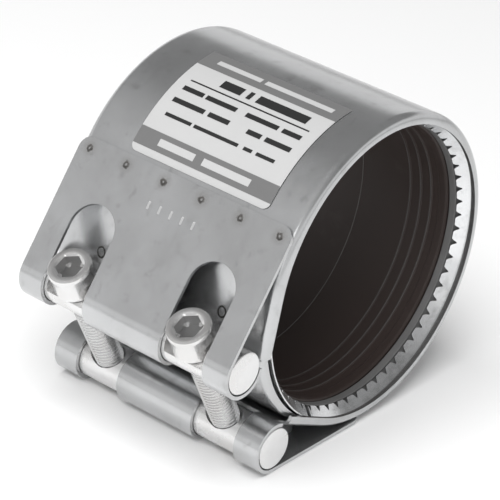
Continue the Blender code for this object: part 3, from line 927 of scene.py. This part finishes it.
def make_bar(name, side, material, hole_radius):
    """A chamfered bar with two cross holes: seats on the upper bar, flared mouths on the lower one."""
    outline = [
        (0.0, BAR_HALF_LENGTH),
        (BAR_RADIUS - BAR_CHAMFER, BAR_HALF_LENGTH),
        (BAR_RADIUS - BAR_CHAMFER * 0.3, BAR_HALF_LENGTH - BAR_CHAMFER * 0.3),
        (BAR_RADIUS, BAR_HALF_LENGTH - BAR_CHAMFER),
    ]
    outline += [(radius, -y) for radius, y in outline[::-1]]
    centre = Vector((BAR_X, 0.0, side * BAR_Z))
    rows = [
        [centre + toward(2 * math.pi * step / BAR_SIDES) * radius + across(y) for step in range(BAR_SIDES)]
        for radius, y in outline
    ]
    bm = bmesh.new()
    loft(bm, plain(rows), closed=True)
    bar = piece(f"{name}_turned", bm, [material], sharp_above=30.0)
    for y in (-SCREW_OFFSET, SCREW_OFFSET):
        at = centre + across(y)
        hole_place = Matrix.Translation(at)
        cut(bar, cylinder(hole_radius, hole_radius, 3 * BAR_RADIUS, HOLE_SIDES, hole_place))
        if side < 0:
            seat = at - Vector((0.0, 0.0, HEAD_SEAT - FIT_GAP + BAR_RADIUS))
            size = (4 * BAR_RADIUS, 2 * SEAT_HALF_LENGTH, 2 * BAR_RADIUS)
            cut(bar, block(size, Matrix.Translation(seat)))
        else:
            mouth = Matrix.Translation(at - Vector((0.0, 0.0, BAR_RADIUS - MOUTH_SUNK)))
            cut(bar, cylinder(hole_radius + MOUTH_FLARE, hole_radius, MOUTH_DEPTH, HOLE_SIDES, mouth))
    soften(bar, BAR_ROUNDING, 40.0)
    settle(bar, 30.0)
    flatten_normals(bar)
    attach(bar, name)
    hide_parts(name)


def thread_radius(height, turn):
    """The thread's radius at a height, where turn is the angle round as a share of a full turn."""
    place = (height / THREAD_PITCH - turn) % 1.0
    if place <= THREAD_CREST:
        depth = 0.0
    elif place <= THREAD_ROOT_START:
        depth = (place - THREAD_CREST) / (THREAD_ROOT_START - THREAD_CREST)
    elif place <= THREAD_ROOT_END:
        depth = 1.0
    else:
        depth = (1.0 - place) / (1.0 - THREAD_ROOT_END)
    radius = THREAD_MAJOR - (THREAD_MAJOR - THREAD_MINOR) * depth
    chamfered = THREAD_MINOR - TIP_RADIUS_BELOW_ROOT + (height - SCREW_TIP)
    return min(radius, chamfered)


def thread_rings():
    """Rings that follow the helix, each held inside the thread's two ends."""
    rings = []
    first = math.floor(SCREW_TIP / THREAD_PITCH) - 1
    last = math.ceil(THREAD_TOP / THREAD_PITCH) + 1
    for pitch in range(first, last):
        for place in (0.0, THREAD_CREST, THREAD_ROOT_START, THREAD_ROOT_END):
            ring = []
            for side in range(SCREW_SIDES):
                turn = side / SCREW_SIDES
                height = THREAD_PITCH * (pitch + place + turn)
                height = min(max(height, SCREW_TIP), THREAD_TOP)
                ring.append((thread_radius(height, turn), height))
            rings.append(ring)
    return rings


def socket_radius(side):
    """The hexagon's radius at one of the screw's sides."""
    angle = 2 * math.pi * side / SCREW_SIDES
    return SOCKET_HALF / math.cos((angle % (math.pi / 3)) - math.pi / 6)


def level(radius, height):
    """A plain ring round the screw."""
    return [(radius, height)] * SCREW_SIDES


def head_rings():
    """Rings from the shank over the knurled head to the edge of its socket."""
    knurl_low = HEAD_SEAT + KNURL_ABOVE_SEAT
    knurl_high = HEAD_TOP - KNURL_BELOW_TOP
    rings = [
        level(SHANK_RADIUS, THREAD_TOP + SHANK_FILLET),
        level(SHANK_RADIUS, HEAD_SEAT - SHANK_FILLET),
        level(SHANK_RADIUS + SHANK_FILLET, HEAD_SEAT),
        level(HEAD_RADIUS - HEAD_UNDER_CHAMFER, HEAD_SEAT),
        level(HEAD_RADIUS, HEAD_SEAT + HEAD_UNDER_CHAMFER),
        level(HEAD_RADIUS, knurl_low),
    ]
    for height in (knurl_low + KNURL_RUN_OUT, knurl_high - KNURL_RUN_OUT):
        rings.append([(HEAD_RADIUS - KNURL_DEPTH * (side % 2), height) for side in range(SCREW_SIDES)])
    rings += [
        level(HEAD_RADIUS, knurl_high),
        level(HEAD_RADIUS, HEAD_TOP - HEAD_TOP_ROUND),
        level(HEAD_RADIUS - HEAD_ROUND_MIDDLE, HEAD_TOP - HEAD_ROUND_MIDDLE),
        level(HEAD_RADIUS - HEAD_TOP_ROUND, HEAD_TOP),
        level(SOCKET_RIM_RADIUS, HEAD_TOP),
        level(SOCKET_RIM_RADIUS - SOCKET_RIM_RUN, HEAD_TOP - SOCKET_RIM_DROP),
    ]
    return rings


def make_screw(name, y, material, socket_shade_material):
    """A socket-head cap screw as one skin: tip, helical thread, shank, knurled head and hexagon socket,
    whose floor carries a darker copy of the steel as painted shade.
    """
    floor_height = HEAD_TOP - SOCKET_DEPTH
    rings = [level(0.0, SCREW_TIP), *thread_rings(), *head_rings()]
    for height in (HEAD_TOP - SOCKET_CHAMFER_DEPTH, floor_height):
        rings.append([(socket_radius(side), height) for side in range(SCREW_SIDES)])
    rings.append(level(SOCKET_FLOOR_RADIUS, floor_height))
    rings.append(level(0.0, floor_height - SOCKET_CONE_DEPTH))
    rows = []
    for ring in rings:
        row = []
        for side, (radius, height) in enumerate(ring):
            angle = 2 * math.pi * side / SCREW_SIDES
            row.append(Vector((radius * math.cos(angle), radius * math.sin(angle), height)))
        rows.append(row)
    bm = bmesh.new()
    loft(bm, plain(rows), closed=True)
    turned_over = Matrix.Translation((BAR_X, y, -BAR_Z)) @ Matrix.Rotation(math.pi, 4, "X")
    # The socket's floor and its drill-point cone get the darker steel: painted shade at the bottom of the
    # socket
    for face in bm.faces:
        if all(vert.co.z < floor_height + 1e-6 and vert.co.z > HEAD_SEAT for vert in face.verts):
            face.material_index = int(face.calc_center_median().xy.length < SOCKET_HALF)
    screw = piece(f"{name}_cap", bm, [material, socket_shade_material], GAP_FRAME @ turned_over, 28.0)
    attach(screw, name)
    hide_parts(name)


# ---- Label --------------------------------------------------------------------------------------


def label_patch(bm, start, end, near, far, lift, material_index=0, corner=0.0):
    """A curved patch that follows the casing, with round corners at its end if a radius is given."""
    radius = CASING_RADIUS + lift
    body_end = end - corner / radius
    count = max(1, math.ceil((body_end - start) / LABEL_STEP))
    stations = [(start + (body_end - start) * step / count, 0.0) for step in range(count + 1)]
    if corner:
        for step in range(1, CORNER_STEPS + 1):
            swing = math.pi / 2 * step / CORNER_STEPS
            stations.append((body_end + math.sin(swing) * corner / radius, corner * (1 - math.cos(swing))))
    rows = [
        [toward(angle) * radius + across(near + inset) for angle, inset in stations],
        [toward(angle) * radius + across(far - inset) for angle, inset in stations],
    ]
    before = len(bm.faces)
    loft(bm, plain(rows))
    bm.faces.ensure_lookup_table()
    for face in bm.faces[before:]:
        face.material_index = material_index


def print_row(bm, angle, height, blocks, material_index):
    half = math.radians(height) / 2
    middle = math.radians(angle)
    width = LABEL_FAR - LABEL_NEAR
    for start, end in blocks:
        near = LABEL_FAR - end * width
        far = LABEL_FAR - start * width
        lift = LABEL_LIFT + LABEL_FILM + 2 * PRINT_FILM
        label_patch(bm, middle - half, middle + half, near, far, lift, material_index)


def make_label(film, grey_ink, dark_ink):
    """The film, then its grey areas, its rule and the plain blocks that take the place of its print."""
    film_lift = LABEL_LIFT + LABEL_FILM / 2
    bm = bmesh.new()
    label_patch(bm, LABEL_START, LABEL_END, LABEL_NEAR, LABEL_FAR, film_lift, corner=LABEL_CORNER)
    label = piece("label_film", bm, [film])
    thicken(label, LABEL_FILM, None)
    settle(label)
    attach(label, "free_end")
    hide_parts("label")
    print_lift = LABEL_LIFT + LABEL_FILM + PRINT_FILM
    rule_start = RULE_AT - RULE_THICKNESS / 2
    rule_end = RULE_AT + RULE_THICKNESS / 2
    rule_sides = (LABEL_NEAR + RULE_INSET, LABEL_FAR - RULE_INSET)
    bm = bmesh.new()
    label_patch(bm, LABEL_START, HEADER_END, LABEL_NEAR, LABEL_FAR, print_lift, GREY)
    label_patch(bm, BAND_START, BAND_END, LABEL_NEAR, LABEL_FAR, print_lift, GREY)
    label_patch(bm, rule_start, rule_end, *rule_sides, print_lift, DARK)
    for row in PRINT_ROWS:
        print_row(bm, *row)
    printed = piece("label_print", bm, [grey_ink, dark_ink, film])
    thicken(printed, PRINT_FILM, None)
    settle(printed)
    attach(printed, "free_end")


# ---- Camera, floor and lights -------------------------------------------------------------------


def make_camera():
    level_distance = math.cos(CAMERA_ELEVATION)
    back = Vector(
        (
            math.sin(CAMERA_AZIMUTH) * level_distance,
            -math.cos(CAMERA_AZIMUTH) * level_distance,
            math.sin(CAMERA_ELEVATION),
        )
    )
    level_right = Vector((math.cos(CAMERA_AZIMUTH), math.sin(CAMERA_AZIMUTH), 0.0))
    level_up = back.cross(level_right)
    right = level_right * math.cos(CAMERA_ROLL) + level_up * math.sin(CAMERA_ROLL)
    up = level_up * math.cos(CAMERA_ROLL) - level_right * math.sin(CAMERA_ROLL)
    data = bpy.data.cameras.new("camera")
    data.lens = CAMERA_LENS
    data.sensor_width = CAMERA_SENSOR
    data.clip_start = CAMERA_CLIP_START
    camera = bpy.data.objects.new("camera", data)
    bpy.context.scene.collection.objects.link(camera)
    turned = Matrix((right, up, back)).transposed().to_4x4()
    camera.matrix_world = Matrix.Translation(CAMERA_TARGET + back * CAMERA_DISTANCE) @ turned
    bpy.context.scene.camera = camera


def make_floor():
    g = Graph("pale_floor")
    g.set(Base_Color=(0.93, 0.93, 0.93, 1.0), Roughness=0.85)
    bm = bmesh.new()
    bmesh.ops.create_grid(bm, x_segments=1, y_segments=1, size=FLOOR_HALF)
    floor = piece("floor", bm, [g.material], Matrix.Translation((0.0, 0.0, FLOOR_HEIGHT - FLOOR_DROP)))


def make_area_light(name, at, size, power, in_reflections):
    """A rectangular light that faces the origin."""
    data = bpy.data.lights.new(name, "AREA")
    data.shape = "RECTANGLE"
    data.size, data.size_y = size
    data.energy = power
    light = bpy.data.objects.new(name, data)
    bpy.context.scene.collection.objects.link(light)
    light.visible_glossy = in_reflections
    light.location = at
    light.rotation_euler = (-Vector(at)).to_track_quat("-Z", "Y").to_euler()


def make_world():
    """A pale backdrop up to a level line, then a room that is dark on the right and lighter on the left."""
    world = bpy.data.worlds.new("studio")
    bpy.context.scene.world = world
    world.use_nodes = True
    tree = world.node_tree
    background = tree.nodes["Background"]
    coordinates = tree.nodes.new("ShaderNodeTexCoord")
    split = tree.nodes.new("ShaderNodeSeparateXYZ")
    tree.links.new(coordinates.outputs["Generated"], split.inputs[0])
    room = tree.nodes.new("ShaderNodeMapRange")
    room.interpolation_type = "SMOOTHSTEP"
    room.inputs["From Min"].default_value = ROOM_RIGHT_FROM
    room.inputs["From Max"].default_value = ROOM_LEFT_FROM
    room.inputs["To Min"].default_value = ROOM_RIGHT
    room.inputs["To Max"].default_value = ROOM_LEFT
    tree.links.new(split.outputs["X"], room.inputs["Value"])
    backdrop = tree.nodes.new("ShaderNodeMapRange")
    backdrop.inputs["From Min"].default_value = BACKDROP_TOP - BACKDROP_FADE
    backdrop.inputs["From Max"].default_value = BACKDROP_TOP + BACKDROP_FADE
    backdrop.inputs["To Min"].default_value = BACKDROP_BRIGHTNESS
    tree.links.new(split.outputs["Z"], backdrop.inputs["Value"])
    tree.links.new(room.outputs[0], backdrop.inputs["To Max"])
    tree.links.new(backdrop.outputs[0], background.inputs["Color"])


steel_sheet = stainless("satin_sheet", 0.60, 0.17, (0.03, 1.0, 1.0), marks=True)
strip_steel = stainless("bright_strip", 0.66, 0.2, (1.0, 1.0, 1.0))
bar_steel = turned_steel("turned_bar", 0.80, 0.24)
screw_steel = turned_steel("screw_steel", 0.80, 0.2)
grip_steel = stainless("grip_strip", 0.88, 0.16, (1.0, 1.0, 1.0), mottle=0.5)

make_camera()
make_world()
make_floor()
make_area_light("overhead", (-0.5, -0.1, 1.3), (1.2, 1.2), 23.0, False)
make_area_light("left_box", (-1.0, -0.5, 0.45), (0.35, 0.5), 0.8, True)

make_casing(steel_sheet)
make_bridge(strip_steel)
make_sleeve(rubber_material())
backing = backing_material()
for end_name, end in (("front", -1), ("rear", 1)):
    make_grip_ring(f"grip_ring_{end_name}", end, grip_steel)
    make_backing_ring(f"backing_ring_{end_name}", end, backing)
make_bar("lower_bar", 1, bar_steel, THREAD_HOLE)
make_bar("upper_bar", -1, bar_steel, CLEARANCE_HOLE)
# A darker copy of the screw steel for the socket's floor: painted shade
socket_floor_shade = turned_steel("socket_floor_shade", 0.3, 0.35)
make_screw("screw_front", -SCREW_OFFSET, screw_steel, socket_floor_shade)
make_screw("screw_rear", SCREW_OFFSET, screw_steel, socket_floor_shade)
make_label(
    film_material("label_white", 0.48),
    film_material("label_grey", 0.15),
    film_material("label_ink", 0.02),
)

bpy.context.scene.view_settings.view_transform = "Standard"
